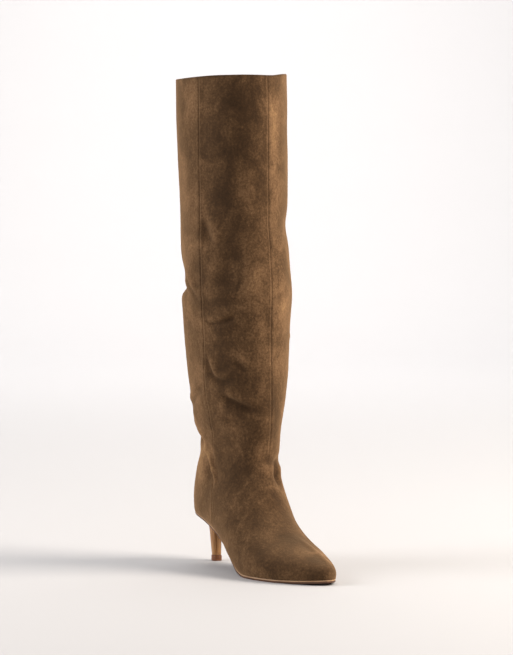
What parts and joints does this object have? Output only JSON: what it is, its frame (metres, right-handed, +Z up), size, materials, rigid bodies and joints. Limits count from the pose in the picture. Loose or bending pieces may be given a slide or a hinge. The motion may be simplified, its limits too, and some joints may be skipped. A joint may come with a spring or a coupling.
{
  "type": "knee-high boot",
  "caption": "Knee-high suede boot for the right foot with a pointed toe, thin sole and slim mid-height heel, open at the collar and standing empty.",
  "frame": {"origin": "middle of the top-piece under the heel, on the floor", "axes": "+X from the heel towards the toe, +Y towards the inner side of the leg, +Z up the leg"},
  "size_m": [0.27, 0.1125, 0.531],
  "materials": {
    "suede": "napped suede",
    "sole": "smooth",
    "sock": "smooth",
    "heel": "satin, stacked look",
    "top_lift": "matt"
  },
  "bodies": {
    "root": {"upper": "suede", "outsole": "sole", "insole": "sock", "heel": "heel", "top_lift": "top_lift"}
  },
  "joints": []
}
